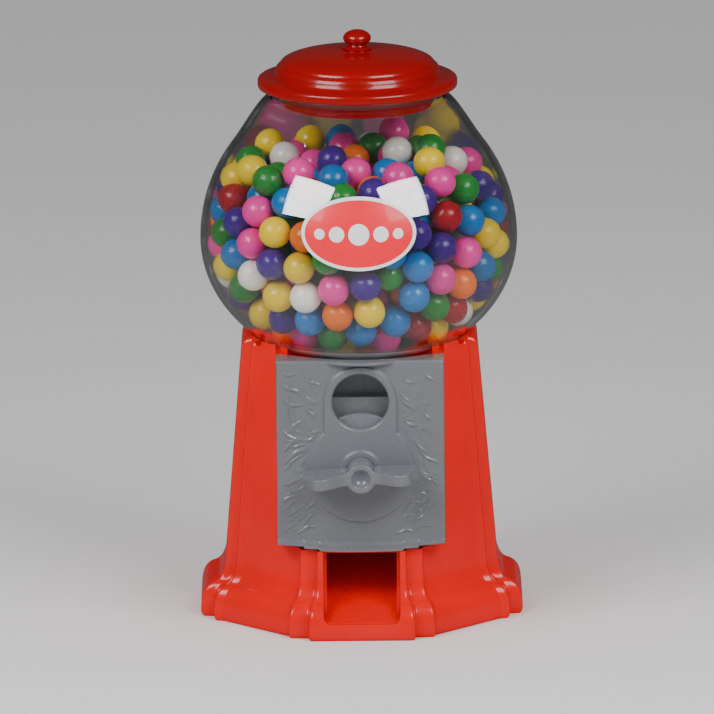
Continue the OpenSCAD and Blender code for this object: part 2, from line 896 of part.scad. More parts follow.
module lid() {
    wall = 2.4;
    z0 = neck_z + 0.3;
    color(DARK_RED)
    difference() {
        rotate_extrude()
        polygon(concat(
            [[0, z0 + 16 - wall], [4, z0 + 16 - wall], [14, z0 + 15.2 - wall]],
            [[28, z0 + 11 - wall], [37.4, z0]],
            [[37.4, z0 - 12], [39.4, z0 - 12], [39.6, z0], [47.6, z0], [47.6, z0 - 2.6]],
            [[49.4, z0 - 2.6], [brim_r, z0 - 1.6], [brim_r, z0 + 1.4], [49, z0 + 2.4]],
            [[43, z0 + 2.8], [41.6, z0 + 4], [40.6, z0 + 7.4], [38.5, z0 + 9]],
            [[30, z0 + 12.6], [20, z0 + 15.2], [10, z0 + 16.4], [0, z0 + 16.6]]
        ));
        rod_z(1.4, z0, z0 + 20);
    }
}

module lid_knob() {
    z0 = neck_z + 16.9;
    top = total_h;
    color(DARK_RED)
    difference() {
        rotate_extrude()
            polygon(concat(
                [[0, z0], [7.5, z0 - 0.15], [7.5, z0 + 0.8], [4.6, z0 + 1.6]],
                [for (a = [-40:20:80]) [7 * cos(a), top - 4.2 + 4.2 * sin(a)]],
                [[0, top]]
            ));
        rod_z(1.3, z0 - 1, z0 + 5);
    }
}

module lid_screw() {
    color(STEEL)
    translate([0, 0, neck_z + 0.3 + 16 - 2.4]) mirror([0, 0, 1]) screw(head_r = 3, length = 7);
}

base_shell();
bottom_cover();
bottom_screws();
coin_door();
front_plate();
plate_screws();
coin_guide();
guide_screws();
coin_wheel();
handle();
handle_pin();
handle_shaft();
shaft_bushing();
bearing_bracket();
bracket_screws();
drive_gear();
shaft_washer();
shaft_screw();
gumball_wheel();
drive_pins();
agitator_cap();
wheel_axle();
axle_washer();
axle_screw();
hopper_floor();
drop_tube();
hopper_ring();
hopper_screws();
ball_guard();
gumball_chute();
globe();
globe_label();
gumballs();
lid();
lid_knob();
lid_screw();
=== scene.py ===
"""Tabletop gumball machine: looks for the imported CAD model. Lengths are in mm until a mesh is made."""

import math

import bmesh
import bpy
import numpy as np
from mathutils import Matrix, Vector


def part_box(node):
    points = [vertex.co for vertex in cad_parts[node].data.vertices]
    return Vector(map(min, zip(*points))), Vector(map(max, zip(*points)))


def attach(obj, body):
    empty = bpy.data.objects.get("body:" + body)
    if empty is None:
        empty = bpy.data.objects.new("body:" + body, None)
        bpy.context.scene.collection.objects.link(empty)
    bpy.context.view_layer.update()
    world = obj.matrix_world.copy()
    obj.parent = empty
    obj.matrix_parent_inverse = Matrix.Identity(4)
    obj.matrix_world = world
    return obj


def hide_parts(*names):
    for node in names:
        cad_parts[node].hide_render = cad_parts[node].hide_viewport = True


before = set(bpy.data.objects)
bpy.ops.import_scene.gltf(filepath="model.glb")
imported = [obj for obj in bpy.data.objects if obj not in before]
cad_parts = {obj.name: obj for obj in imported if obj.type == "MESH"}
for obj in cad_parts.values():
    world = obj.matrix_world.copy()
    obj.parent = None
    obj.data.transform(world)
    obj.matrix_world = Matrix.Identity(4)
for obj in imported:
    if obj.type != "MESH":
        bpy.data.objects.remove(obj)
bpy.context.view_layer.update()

MM = 0.001


def box_mm(node):
    low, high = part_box(node)
    return np.array(low) / MM, np.array(high) / MM


# ---- dimensions, from the frame ----

BASE_HIGH = box_mm("base_shell")[1]
PLATE_LOW, PLATE_HIGH = box_mm("front_plate")
GLOBE_LOW, GLOBE_HIGH = box_mm("globe")
HANDLE_LOW, HANDLE_HIGH = box_mm("handle")
WHEEL_LOW, WHEEL_HIGH = box_mm("coin_wheel")
KNOB_TOP = box_mm("lid_knob")[1][2]

GLOBE_R = GLOBE_HIGH[0]
NECK_RISE = 79  # from the equator to the neck's top
GLOBE_Z = GLOBE_HIGH[2] - NECK_RISE  # height of the equator
GLOBE_DEPTH = 65.4  # depth of the lower half, if it were not cut off
GLOBE_WALL = 2.8
GLOBE_GAP = 0.4
COLLAR_R = 41.2
COLLAR_BORE = 38.4
COLLAR_TOP = 132.4
BORE_TOP = 136.2
NECK_R = 43
NECK_Z = GLOBE_HIGH[2]

FOOT_HALF = BASE_HIGH[0]
WAIST_HALF = 68.1
SHOULDER_HALF = 59.2
COVE_LOW = 17.3
COVE_LOW_HALF = 75.2
COVE_TOP = 30
SHOULDER_Z = 137
RIM_Z = 141.95
RIM_R = 55.9
BASE_WALL = 2.6
DECK_Z = 129.5
DECK_EDGE_R = 48
DISH_HOLE_R = 41.6
DISH_LOW = 134.2  # the dish under the globe ends here
HOLE_RIM_Z = 133
HOLLOW_R = 59.5  # rim of the hollow around the globe's foot
HOLLOW_Z = 134.9
HOLLOW_WALL = 1.2
HOLLOW_HALF = 36  # the hollow's width and back in the base's frame
HOLLOW_BACK = 34.3

SEAT_HALF = 44.5  # the flat that takes the plate
FRAME_HALF = 42.2  # the frame behind the plate
FRAME_BACK = 34
OPENING_HALF = 39.6  # the opening in that frame
OPENING_LOW, OPENING_TOP = 45, 136.8
OUTLET_HALF = 19.1
OUTLET_LOW = 8.5
OUTLET_BACK = 45
PASSAGE_LOW, PASSAGE_TOP = 17.5, 52  # the way from the chute to the outlet

PLATE_HALF = PLATE_HIGH[0]
PLATE_FACE = 62  # distance of the plate's face from the middle
PLATE_BACK = -PLATE_HIGH[1]
PLATE_TOP = PLATE_HIGH[2]
PLATE_BOTTOM = PLATE_LOW[2]
PLATE_WALL = 2.4
COIN_WHEEL_R = WHEEL_HIGH[0]
CRANK_Z = WHEEL_HIGH[2] - COIN_WHEEL_R
WINDOW_R = 14.1
WINDOW_Z = 118.4
HUB_R = 7.5
SHAFT_R = 3
BALL_R = 7.9


# ---- mesh helpers ----


def new_object(name, verts, faces):
    """A mesh object from vertices in mm."""
    mesh = bpy.data.meshes.new(name)
    mesh.from_pydata([tuple(v) for v in np.asarray(verts, float) * MM], [], faces)
    mesh.update()
    obj = bpy.data.objects.new(name, mesh)
    bpy.context.scene.collection.objects.link(obj)
    return obj


def fix_normals(obj):
    mesh = bmesh.new()
    mesh.from_mesh(obj.data)
    bmesh.ops.recalc_face_normals(mesh, faces=mesh.faces)
    mesh.to_mesh(obj.data)
    mesh.free()


def smooth(obj, angle=35):
    """Smooth shading with sharp edges above that angle in degrees."""
    obj.data.shade_smooth()
    obj.data.set_sharp_from_angle(angle=math.radians(angle))


def finish_piece(obj, body, look, slot, *nodes, angle=35):
    """Shades a piece, gives it its material, and puts it on its body in place of the CAD nodes."""
    smooth(obj, angle)
    obj.data.materials.clear()
    obj.data.materials.append(look)
    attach(obj, body)
    if nodes:
        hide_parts(*nodes)
    return obj


def bake_modifiers(obj):
    graph = bpy.context.evaluated_depsgraph_get()
    mesh = bpy.data.meshes.new_from_object(obj.evaluated_get(graph))
    obj.modifiers.clear()
    obj.data = mesh


def remove(obj):
    bpy.data.objects.remove(obj, do_unlink=True)


def combine(obj, others, operation="DIFFERENCE"):
    """Cuts the others from obj, or adds them to it, and removes them."""
    for other in others:
        modifier = obj.modifiers.new("combine", "BOOLEAN")
        modifier.operation = operation
        modifier.solver = "EXACT"
        modifier.object = other
        bake_modifiers(obj)
        remove(other)


def rings_mesh(rings, closed_loop=False):
    """Vertices and faces through rings of equal length; a closed loop joins the last to the first."""
    rings = np.asarray(rings, float)
    levels, count = rings.shape[:2]
    faces = []
    for k in range(levels if closed_loop else levels - 1):
        a, b = k * count, ((k + 1) % levels) * count
        for i in range(count):
            j = (i + 1) % count
            faces.append((a + i, a + j, b + j, b + i))
    if not closed_loop:
        faces.append(tuple(range(count))[::-1])
        faces.append(tuple((levels - 1) * count + i for i in range(count)))
    return rings.reshape(-1, 3), faces


def lathe(name, profile, segments=160):
    """A solid turned about the vertical axis from (radius, height) points.

    The profile's ends are both on the axis, or both off it and joined.
    """
    angles = np.linspace(0, 2 * math.pi, segments, endpoint=False)
    verts, faces, rows = [], [], []
    for radius, z in profile:
        if radius < 1e-6:
            rows.append([len(verts)])
            verts.append((0, 0, z))
        else:
            rows.append(list(range(len(verts), len(verts) + segments)))
            for a in angles:
                verts.append((radius * math.cos(a), radius * math.sin(a), z))
    closed = profile[0][0] > 1e-6
    pairs = list(zip(rows, rows[1:])) + ([(rows[-1], rows[0])] if closed else [])
    for low, high in pairs:
        for i in range(segments):
            j = (i + 1) % segments
            if len(low) == 1 and len(high) == 1:
                continue
            if len(low) == 1:
                faces.append((low[0], high[j], high[i]))
            elif len(high) == 1:
                faces.append((low[i], low[j], high[0]))
            else:
                faces.append((low[i], low[j], high[j], high[i]))
    obj = new_object(name, verts, faces)
    fix_normals(obj)
    return obj


def rod(name, radius, low, high, segments):
    return lathe(name, [(0, low), (radius, low), (radius, high), (0, high)], segments)


def lay_along_y(obj, centre_z):
    """Turns a lathe made about the vertical axis so that its +Z points along -Y, at that height."""
    turn = Matrix.Translation((0, 0, centre_z * MM)) @ Matrix.Rotation(math.pi / 2, 4, "X")
    obj.data.transform(turn)
    return obj


def block(name, low, high):
    x0, y0, z0 = low
    x1, y1, z1 = high
    verts = [(x, y, z) for z in (z0, z1) for y in (y0, y1) for x in (x0, x1)]
    faces = [(0, 2, 3, 1), (4, 5, 7, 6), (0, 1, 5, 4), (2, 6, 7, 3), (0, 4, 6, 2), (1, 3, 7, 5)]
    return new_object(name, verts, faces)


def prism_along_y(name, outline, y0, y1):
    """A solid from (x, z) points, from y0 back to y1."""
    count = len(outline)
    verts = [(x, y0, z) for x, z in outline] + [(x, y1, z) for x, z in outline]
    faces = [(i, (i + 1) % count, count + (i + 1) % count, count + i) for i in range(count)]
    faces += [tuple(range(count))[::-1], tuple(range(count, 2 * count))]
    obj = new_object(name, verts, faces)
    fix_normals(obj)
    return obj


def arc(cx, cz, radius, start, end, steps):
    """Points on an arc, angles in degrees."""
    angles = np.radians(np.linspace(start, end, steps + 1))
    return [(cx + radius * math.cos(a), cz + radius * math.sin(a)) for a in angles]


def rounded_corner(before, corner, after, radius, steps):
    """Points of an arc that rounds a corner of an outline."""
    corner = np.array(corner)
    back, ahead = np.array(before) - corner, np.array(after) - corner
    back, ahead = back / np.linalg.norm(back), ahead / np.linalg.norm(ahead)
    half = math.acos(np.clip(back @ ahead, -1, 1)) / 2
    reach = radius / math.tan(half)
    start, end = corner + back * reach, corner + ahead * reach
    middle = corner + (back + ahead) / np.linalg.norm(back + ahead) * radius / math.sin(half)
    a0 = math.atan2(*(start - middle)[::-1])
    a1 = math.atan2(*(end - middle)[::-1])
    turn = (a1 - a0 + math.pi) % (2 * math.pi) - math.pi
    return [middle + radius * np.array([math.cos(a0 + turn * t), math.sin(a0 + turn * t)])
            for t in np.linspace(0, 1, steps + 1)]


# ---- materials ----


class Look:
    """A node material with a Principled shader."""

    def __init__(self, name):
        self.material = bpy.data.materials.new(name)
        self.material.use_nodes = True
        self.nodes = self.material.node_tree.nodes
        self.links = self.material.node_tree.links
        self.shader = self.nodes["Principled BSDF"]
        self.place = self.nodes.new("ShaderNodeTexCoord").outputs["Object"]

    def noise(self, scale, detail=3, roughness=0.5):
        node = self.nodes.new("ShaderNodeTexNoise")
        node.inputs["Scale"].default_value = scale
        node.inputs["Detail"].default_value = detail
        node.inputs["Roughness"].default_value = roughness
        self.links.new(self.place, node.inputs["Vector"])
        return node.outputs["Fac"]

    def ramp(self, value, low, high, out_low, out_high):
        node = self.nodes.new("ShaderNodeMapRange")
        numbers = {"From Min": low, "From Max": high, "To Min": out_low, "To Max": out_high}
        for name, number in numbers.items():
            node.inputs[name].default_value = number
        self.links.new(value, node.inputs["Value"])
        return node.outputs["Result"]

    def mix(self, value, first, second):
        node = self.nodes.new("ShaderNodeMix")
        node.data_type = "RGBA"
        self.links.new(value, node.inputs["Factor"])
        for socket, colour in ((node.inputs[6], first), (node.inputs[7], second)):
            if isinstance(colour, bpy.types.NodeSocket):
                self.links.new(colour, socket)
            else:
                socket.default_value = (*colour, 1)
        return node.outputs[2]

    def math(self, operation, first, second):
        node = self.nodes.new("ShaderNodeMath")
        node.operation = operation
        self.links.new(first, node.inputs[0])
        self.links.new(second, node.inputs[1])
        return node.outputs[0]

    def height(self):
        """Height above the ground in metres."""
        node = self.nodes.new("ShaderNodeSeparateXYZ")
        self.links.new(self.place, node.inputs[0])
        return node.outputs["Z"]

    def bump(self, *layers):
        """Layers are (height, depth in mm)."""
        normal = None
        for height, depth in layers:
            node = self.nodes.new("ShaderNodeBump")
            node.inputs["Distance"].default_value = depth * MM
            self.links.new(height, node.inputs["Height"])
            if normal:
                self.links.new(normal, node.inputs["Normal"])
            normal = node.outputs["Normal"]
        self.links.new(normal, self.shader.inputs["Normal"])

    def colour(self, socket):
        self.links.new(socket, self.shader.inputs["Base Color"])

    def roughness(self, socket):
        self.links.new(socket, self.shader.inputs["Roughness"])

    def set(self, **values):
        for name, value in values.items():
            self.shader.inputs[name.replace("_", " ")].default_value = value


def darker(colour, factor):
    return tuple(c * factor for c in colour)


def plastic(name, colour, rough, coat=0.0, wave=0.12, grain=0.006, flecks=0.04):
    """Moulded plastic: slow tone changes, fine grain, flow waviness and handling scuffs."""
    look = Look(name)
    tone = look.ramp(look.noise(22, 4), 0.3, 0.7, 0, 1)
    body = look.mix(tone, darker(colour, 0.94), darker(colour, 1.05))
    speck = look.ramp(look.noise(950, 2), 0.62, 0.74, 0, flecks)
    look.colour(look.mix(speck, body, (0.8, 0.8, 0.8)))
    scuffs = look.noise(130, 6, 0.65)
    look.roughness(look.ramp(scuffs, 0.35, 0.7, rough * 0.85, rough * 1.3))
    look.bump((look.noise(38, 2), wave), (look.noise(1400, 2), grain))
    look.set(Coat_Weight=coat, Coat_Roughness=0.06, IOR=1.45)
    return look.material


def zinc_steel():
    look = Look("zinc_steel")
    tone = look.ramp(look.noise(260, 5), 0.3, 0.7, 0, 1)
    look.colour(look.mix(tone, (0.46, 0.47, 0.5), (0.62, 0.62, 0.6)))
    look.roughness(look.ramp(look.noise(420, 4), 0.3, 0.7, 0.22, 0.42))
    look.bump((look.noise(900, 3), 0.01))
    look.set(Metallic=1.0)
    return look.material


FOOT_PAINTED_SHADING_LOW, FOOT_PAINTED_SHADING_HIGH = 137, 140  # the globe's foot is painted from dark to bright between these heights: painted shade and painted reflection
PAINTED_BAND_TOP = 141.4  # up to here the foot is painted a silvery grey, a painted reflection
MURK_TOP = 152  # and the wall above it is hazy up to here


def clear_plastic():
    """Clear moulded plastic, with a painted silvery reflection on its foot. Light passes it for shadows
    and for light from diffuse surfaces.
    """
    look = Look("clear_plastic")
    # the strong coat makes the softboxes' reflections bright
    look.set(IOR=1.47, Coat_Weight=1.0, Coat_Roughness=0.0, Coat_IOR=1.9)
    height = look.height()
    haze = look.ramp(height, MURK_TOP * MM, PAINTED_BAND_TOP * MM, 0, 0.16)
    look.roughness(look.math("MAXIMUM", look.ramp(look.noise(60, 4), 0.45, 0.75, 0.0, 0.035), haze))
    # painted reflection and shade: the thick foot is painted silvery grey, dark at the bottom and bright
    # higher up, and lets less light through
    painted_band = look.ramp(height, (PAINTED_BAND_TOP - 0.6) * MM, PAINTED_BAND_TOP * MM, 1, 0)
    painted_shading = look.ramp(height, FOOT_PAINTED_SHADING_LOW * MM, FOOT_PAINTED_SHADING_HIGH * MM, 0, 1)
    painted_silver = look.mix(painted_shading, (0.3, 0.31, 0.32), (0.94, 0.95, 0.96))
    look.colour(look.mix(painted_band, (0.955, 0.955, 0.965), painted_silver))
    look.links.new(look.ramp(painted_band, 0, 1, 1, 0.15), look.shader.inputs["Transmission Weight"])
    look.bump((look.noise(9, 2), 0.25))
    path = look.nodes.new("ShaderNodeLightPath")
    either = look.math("MAXIMUM", path.outputs["Is Shadow Ray"], path.outputs["Is Diffuse Ray"])
    through = look.nodes.new("ShaderNodeBsdfTransparent")
    through.inputs["Color"].default_value = (0.95, 0.95, 0.96, 1)
    mix = look.nodes.new("ShaderNodeMixShader")
    look.links.new(either, mix.inputs["Fac"])
    look.links.new(look.shader.outputs[0], mix.inputs[1])
    look.links.new(through.outputs[0], mix.inputs[2])
    look.links.new(mix.outputs[0], look.nodes["Material Output"].inputs["Surface"])
    return look.material


def candy(name, colour):
    """Polished sugar shell: a tone for each ball, cloudy patches, pinholes and tiny dents."""
    look = Look(name)
    tone = look.nodes.new("ShaderNodeAttribute")
    tone.attribute_name = "tone"
    shell = look.mix(tone.outputs["Fac"], darker(colour, 0.8), darker(colour, 1.08))
    cloud = look.ramp(look.noise(170, 4), 0.5, 0.75, 0, 0.06)
    shell = look.mix(cloud, shell, tuple(0.55 * c + 0.4 for c in colour))
    pale = look.ramp(look.noise(1600, 2), 0.68, 0.78, 0, 0.25)
    look.colour(look.mix(pale, shell, (0.9, 0.9, 0.88)))
    look.roughness(look.ramp(look.noise(240, 4), 0.3, 0.7, 0.16, 0.3))
    look.bump((look.noise(190, 2), 0.22), (look.noise(1500, 2), 0.02))
    look.set(Coat_Weight=0.2, Coat_Roughness=0.08, Specular_IOR_Level=0.35)
    return look.material


RED = plastic("red_plastic", (0.8, 0.0003, 0.0002), 0.2, coat=0.2, flecks=0.01)
# the lid's red is darker than the base's red: partly a deeper red, partly painted shade
DEEP_SHADED_RED = plastic("dark_red_plastic", (0.30, 0.0005, 0.001), 0.22, coat=0.3, flecks=0.01)
GREY = plastic("grey_plastic", (0.155, 0.161, 0.176), 0.3, coat=0.6, wave=0.06, grain=0.01,
               flecks=0.08)
CREAM = plastic("cream_plastic", (0.72, 0.68, 0.55), 0.42)
BLACK = plastic("black_plastic", (0.02, 0.02, 0.022), 0.42, grain=0.02)
STEEL = zinc_steel()
CLEAR = clear_plastic()


# ---- base ----

# One side of the fluted plan for a base of half width 1: corners (x, y, rounding radius).
SIDE = [
    (-0.462, -0.865, 0.012), (-0.448, -0.918, 0.016), (-0.338, -0.922, 0.012), (-0.326, -1, 0.022),
    (0.326, -1, 0.022), (0.338, -0.922, 0.012), (0.448, -0.918, 0.016), (0.462, -0.865, 0.012),
]
CORNER_STEPS = 5
PLAN_STEP = 0.05
ROUND_STEPS = 192
TAB_ANGLES = (47, 62)


def spread(start, end, count):
    """Points between two corners, without the ends."""
    return [start + (end - start) * t for t in np.linspace(0, 1, count + 2)[1:-1]]


def fluted_plan():
    """The plan's outline for a half width of 1, with round corners and points along its straights."""
    corners = []
    for quarter in range(4):
        c, s = (1, 0, -1, 0)[quarter], (0, 1, 0, -1)[quarter]
        corners += [((x * c - y * s, x * s + y * c), r) for x, y, r in SIDE]
    points = []
    count = len(corners)
    for i, (corner, radius) in enumerate(corners):
        before, after = corners[i - 1][0], corners[(i + 1) % count][0]
        bend = rounded_corner(before, corner, after, radius, CORNER_STEPS)
        if points:
            gap = np.linalg.norm(bend[0] - points[-1])
            points += spread(points[-1], bend[0], int(gap / PLAN_STEP))
        points += bend
    gap = np.linalg.norm(points[0] - points[-1])
    return np.array(points + spread(points[-1], points[0], int(gap / PLAN_STEP)))


def globe_radius(z, extra):
    """Radius of the globe's lower half at a height, grown by extra."""
    return (GLOBE_R + extra) * math.sqrt(1 - ((GLOBE_Z - z) / (GLOBE_DEPTH + extra)) ** 2)


def base_rings():
    """Rings of the shell: up the outside, over the rim, down the dish, and down the inside."""
    plan = fluted_plan()
    circle = plan / np.linalg.norm(plan, axis=1)[:, None]
    # (height, half width) up the rounded foot
    foot = [(0, 79.6), (0.5, 80.2), (1.4, 80.7), (3, FOOT_HALF), (6.5, 80.85), (9.5, 80.45),
            (11.6, 79.9), (13.4, 79.1), (14.9, 78), (16.1, 76.7), (16.9, 75.4)]
    cove = [(COVE_LOW + (COVE_TOP - COVE_LOW) * (1 - math.cos(a)),
             WAIST_HALF + (COVE_LOW_HALF - WAIST_HALF) * (1 - math.sin(a)))
            for a in np.radians(np.linspace(8, 90, 12))]
    levels = foot + cove
    taper = SHOULDER_HALF - WAIST_HALF
    for z in np.linspace(COVE_TOP, SHOULDER_Z, 22)[1:]:
        levels.append((z, WAIST_HALF + taper * (z - COVE_TOP) / (SHOULDER_Z - COVE_TOP)))
    rings = [np.column_stack([plan * half, np.full(len(plan), z)]) for z, half in levels]
    for a in np.radians(np.linspace(10, 90, 10)):
        fade = 1 - math.cos(a)
        flat = plan * SHOULDER_HALF * (1 - fade) + circle * RIM_R * fade
        z = SHOULDER_Z + (RIM_Z - SHOULDER_Z) * math.sin(a)
        rings.append(np.column_stack([flat, np.full(len(plan), z)]))

    def round_ring(radius, z):
        rings.append(np.column_stack([circle * radius, np.full(len(plan), z)]))

    round_ring(RIM_R - 0.35, RIM_Z)
    round_ring(globe_radius(RIM_Z - 0.35, GLOBE_GAP) + 0.15, RIM_Z - 0.1)
    for z in np.linspace(RIM_Z - 0.4, DISH_LOW, 8):
        round_ring(globe_radius(z, GLOBE_GAP), z)
    round_ring(DISH_HOLE_R, HOLE_RIM_Z)
    round_ring(DISH_HOLE_R, DECK_Z)
    round_ring(DECK_EDGE_R, DECK_Z)
    inner = [(DECK_Z, SHOULDER_HALF - BASE_WALL + 0.5), (COVE_TOP, WAIST_HALF - BASE_WALL),
             (COVE_TOP - 6, WAIST_HALF - BASE_WALL + 0.5), (14.9, WAIST_HALF + 3),
             (12.5, FOOT_HALF - BASE_WALL - 0.8), (0, FOOT_HALF - BASE_WALL - 0.8)]
    for z, half in inner:
        rings.append(np.column_stack([plan * half, np.full(len(plan), z)]))
    return rings


def outlet_outline(half, z0, z1):
    """(x, z) points of the outlet, with its bottom corners rounded."""
    corner = 4
    return (arc(-half + corner, z0 + corner, corner, 180, 270, 8)
            + arc(half - corner, z0 + corner, corner, 270, 360, 8) + [(half, z1), (-half, z1)])


def dish_cutter():
    """The globe's lower half with a gap around it, between two heights."""
    low, high = 130, 150
    wall = [(globe_radius(z, GLOBE_GAP), z) for z in np.linspace(low, high, 24)]
    return lathe("dish", [(0, low)] + wall + [(0, high)], ROUND_STEPS)


def foot_cone(drop):
    """Shallow cone around the globe's foot, that much lower than the hollow in the plate's top."""
    width, rise = 2 * (HOLLOW_R - DISH_HOLE_R), 2 * (PLATE_TOP - HOLLOW_Z)
    low = HOLLOW_Z - drop
    profile = [(0, low), (DISH_HOLE_R, low), (DISH_HOLE_R + width, low + rise), (0, low + rise)]
    return lathe("foot_cone", profile, ROUND_STEPS)


def tab_notch(angle):
    """Small slot in the dish's rim, at that angle from the front."""
    slot = block("notch", (-1.9, -58.5, RIM_Z - 2.4), (1.9, -53.2, RIM_Z + 2))
    slot.data.transform(Matrix.Rotation(math.radians(angle), 4, "Z"))
    return slot


def make_base():
    verts, faces = rings_mesh(base_rings(), closed_loop=True)
    shell = new_object("base_body", verts, faces)
    fix_normals(shell)
    ahead = -90  # in front of everything
    seat = block("notch", (-SEAT_HALF, ahead, PLATE_BOTTOM), (SEAT_HALF, -PLATE_BACK, 160))
    combine(shell, [seat])
    outer = block("frame_block", (-FRAME_HALF, -PLATE_BACK, PLATE_BOTTOM),
                  (FRAME_HALF, -FRAME_BACK, PLATE_TOP + 0.2))
    combine(outer, [dish_cutter(), rod("hole", DISH_HOLE_R, 100, 150, ROUND_STEPS)])
    combine(shell, [outer], "UNION")
    inside = -FRAME_BACK + 1
    opening = block("opening", (-OPENING_HALF, -60, OPENING_LOW), (OPENING_HALF, inside, OPENING_TOP))
    combine(shell, [opening])
    outline = outlet_outline(OUTLET_HALF, OUTLET_LOW, PLATE_BOTTOM + 0.1)
    outlet = prism_along_y("outlet", outline, ahead, -OUTLET_BACK)
    passage = block("passage", (-OUTLET_HALF, -PLATE_BACK - 1, PASSAGE_LOW),
                    (OUTLET_HALF, inside, PASSAGE_TOP))
    combine(shell, [outlet, passage])
    combine(shell, [tab_notch(side * angle) for side in (-1, 1) for angle in TAB_ANGLES])
    hollow = foot_cone(0)
    side = block("hollow_side", (-HOLLOW_HALF, ahead, 120), (HOLLOW_HALF, -HOLLOW_BACK, PLATE_TOP + 3))
    combine(hollow, [side], "INTERSECT")
    combine(shell, [hollow])
    finish_piece(shell, "base", RED, "red_plastic", "base_shell", angle=28)


# ---- front plate ----

RELIEF_SEED = 7
RELIEF_ROWS = 27
RELIEF_LOW = 51
RELIEF_SPAN = 86
RELIEF_COLUMNS = (24, 32)
RELIEF_CHANGE = 0.62  # from this share of the rows up, ridges are shorter, and steeper at the left
RIDGE_HEIGHT = 0.7
RIDGE_WIDTH = 0.62


def ridge(points_x, points_z, start, heading, bend, length, width, height):
    """Height field of one wavy tapered ridge."""
    steps = 26
    x, z = start
    angle = heading
    field = np.zeros_like(points_x)
    for k in range(steps):
        t = k / (steps - 1)
        taper = math.sin(math.pi * min(1, 0.08 + t * 0.92)) ** 0.6
        angle += math.radians(bend) / steps + 0.10 * math.sin(7.5 * t + heading * 3)
        x += math.cos(angle) * length / steps
        z += math.sin(angle) * length / steps
        near = (points_x - x) ** 2 + (points_z - z) ** 2
        field = np.maximum(field, height * taper * np.exp(-near / (width * (0.5 + 0.5 * taper)) ** 2))
    return field


def relief(x, z):
    """Rippled bark pattern on both sides of the plate, clear of the raised keyhole."""
    rng = np.random.default_rng(RELIEF_SEED)
    field = np.zeros_like(x)
    for side in (-1, 1):
        for row in range(RELIEF_ROWS):
            start_z = RELIEF_LOW + row * RELIEF_SPAN / RELIEF_ROWS + rng.uniform(-0.9, 0.9)
            high = row / RELIEF_ROWS > RELIEF_CHANGE
            for start_x in RELIEF_COLUMNS:
                start_x = side * (start_x + rng.uniform(-2, 3))
                if side < 0:
                    heading = math.radians(rng.uniform(-65, -20) if high else rng.uniform(-22, 22))
                    bend = rng.uniform(-40, 40)
                else:
                    heading = math.radians(rng.uniform(-60, -25) if row > 8 else rng.uniform(-30, 40))
                    bend = rng.uniform(-45, 45)
                length = rng.uniform(7, 14) if high else rng.uniform(10, 19)
                start_x = start_x - 0.5 * length * math.cos(heading)
                height = RIDGE_HEIGHT * rng.uniform(0.5, 1.1)
                width = RIDGE_WIDTH * rng.uniform(0.85, 1.4)
                wave = ridge(x, z, (start_x, start_z), heading, bend, length, width, height)
                field = np.maximum(field, wave)
    swell = 0.1 * np.sin(x * 0.55 + 1.3 * np.sin(z * 0.31)) * np.sin(z * 0.62 + 1.1 * np.sin(x * 0.4))
    field = field + swell
    # the relief fades out at the plate's edges and at the keyhole
    edge = np.clip((PLATE_HALF - 2.2 - np.abs(x)) / 1.6, 0, 1) * np.clip((PLATE_TOP - 3 - z) / 2, 0, 1)
    clear = np.clip((keyhole_distance(x, z) - 1.4) / 1.6, 0, 1) * np.clip((z - 49.5) / 2, 0, 1)
    return field * edge * clear


DISC_R = 26.4  # the raised keyhole: a disc around the crank and an arch around the window
ARCH_R = 18


def keyhole_distance(x, z):
    """Distance outside the raised keyhole; negative inside it."""
    disc = np.hypot(x, z - CRANK_Z) - DISC_R
    arch = np.hypot(x, z - WINDOW_Z) - ARCH_R
    between = (z > CRANK_Z) & (z < WINDOW_Z)
    neck = np.where(between, np.abs(x) - ARCH_R, 99)
    return np.minimum(np.minimum(disc, arch), neck)


def round_edge(distance, radius):
    """Drop of a round edge at a distance in from the edge."""
    d = np.clip(distance, 0, radius)
    return radius - np.sqrt(radius ** 2 - (radius - d) ** 2)


def step_up(distance, width):
    """Smooth 0 to 1 as distance goes from width/2 outside to width/2 inside."""
    t = np.clip(0.5 - distance / width, 0, 1)
    return t * t * (3 - 2 * t)


LIP_STEPS = (20.9, 28.7)


def lip_bottom(x):
    """Height of the plate's bottom edge."""
    a = np.abs(x)
    steps = sum(0.7 * step_up(edge - a, 0.5) for edge in LIP_STEPS)
    return PLATE_BOTTOM + 1.6 * (a / PLATE_HALF) ** 2 + steps


def lip_reach(x):
    """How far the lip stands forward of the plate's face."""
    a = np.abs(x)
    return 6.4 - 1.4 * (a / PLATE_HALF) ** 2 - sum(1.2 * step_up(edge - a, 0.5) for edge in LIP_STEPS)


BOSS_HEIGHT = 1.3
HUB_RING_R = 10.2
HUB_RING_HEIGHT = 1.1
FLARE_HEIGHT = 5.2
BEAD_HEIGHT = 0.75
EDGE_R = 1.3
LIP_EDGE_R = 0.7


def plate_height(x, z):
    """How far the plate stands forward of its face."""
    height = relief(x, z)
    height = height + BOSS_HEIGHT * step_up(keyhole_distance(x, z), 0.9)
    height += HUB_RING_HEIGHT * step_up(np.hypot(x, z - CRANK_Z) - HUB_RING_R, 1.1)
    height -= round_edge(np.hypot(x, z - WINDOW_Z) - WINDOW_R, EDGE_R)
    bottom = lip_bottom(x)
    t = np.clip((bottom + FLARE_HEIGHT - z) / FLARE_HEIGHT, 0, 1)
    flare = t * t * (0.35 + 0.65 * t)
    bead = BEAD_HEIGHT * np.exp(-((z - bottom - 0.9) / 0.6) ** 2)
    height += (lip_reach(x) - 0.5) * flare + bead
    height -= round_edge(PLATE_HALF - np.abs(x), EDGE_R)
    height -= round_edge(PLATE_TOP - z, EDGE_R)
    height -= round_edge(z - bottom, LIP_EDGE_R)
    return height


FINE_EDGE = 1.4  # width of the strip along each edge that has denser points


